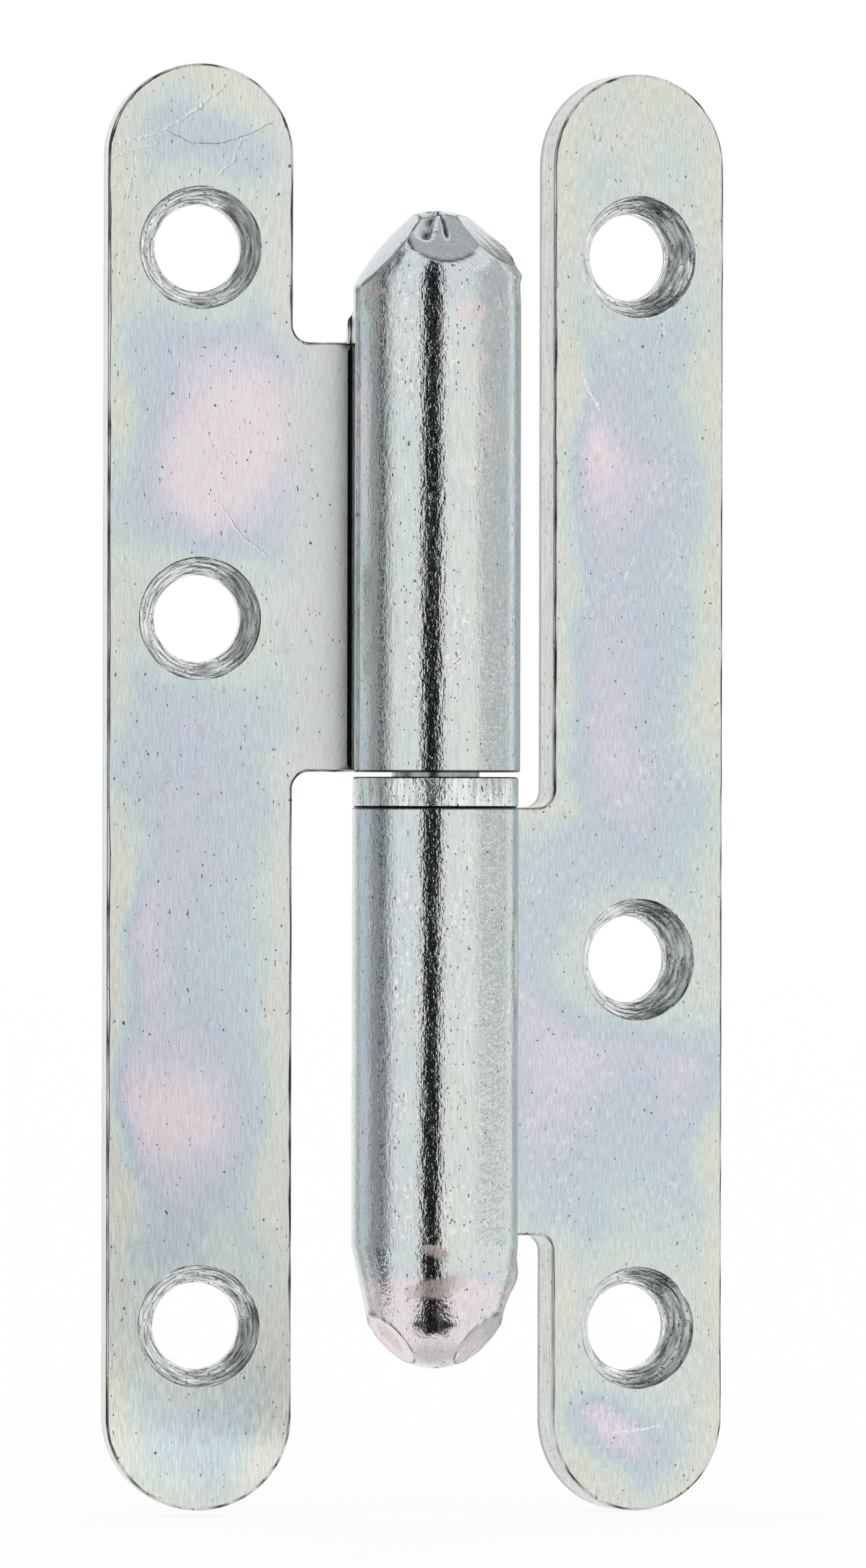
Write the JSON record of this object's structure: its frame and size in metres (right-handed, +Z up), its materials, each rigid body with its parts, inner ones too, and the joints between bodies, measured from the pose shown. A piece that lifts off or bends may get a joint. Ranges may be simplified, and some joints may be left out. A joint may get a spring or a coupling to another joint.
{
  "type": "lift-off hinge",
  "caption": "H-shaped lift-off hinge of zinc-plated sheet steel: round-ended leaves with countersunk screw holes and rolled, swaged knuckles that turn on a pin over a spacer ring.",
  "frame": {"origin": "on the frame leaf's back face, half-way up the line of its screw holes", "axes": "+Z up along the hinge pin, the way the door leaf lifts off; -Y out of the frame leaf's countersunk face; +X from the pin towards the frame leaf's outer edge"},
  "size_m": [0.0484, 0.0192, 0.1103],
  "materials": {
    "zinc_leaf": "bright zinc plating with a pale iridescent passivation, satin",
    "pin_steel": "plain drawn steel, zinc plated",
    "zinc_ring": "bright zinc plating over a cut edge"
  },
  "bodies": {
    "frame": {"frame_leaf": "zinc_leaf", "hinge_pin": "pin_steel"},
    "spacer": {"spacer_ring": "zinc_ring"},
    "door": {"door_leaf": "zinc_leaf"}
  },
  "joints": [
    {"name": "swing", "type": "hinge", "parent": "frame", "child": "spacer", "pos_m": [-0.0184, -0.00635, 0], "axis": [0, 0, 1], "range_deg": [-101, 209]},
    {"name": "lift_off", "type": "slide", "parent": "spacer", "child": "door", "axis": [0, 0, 1], "range_m": [0, 0.033]}
  ]
}
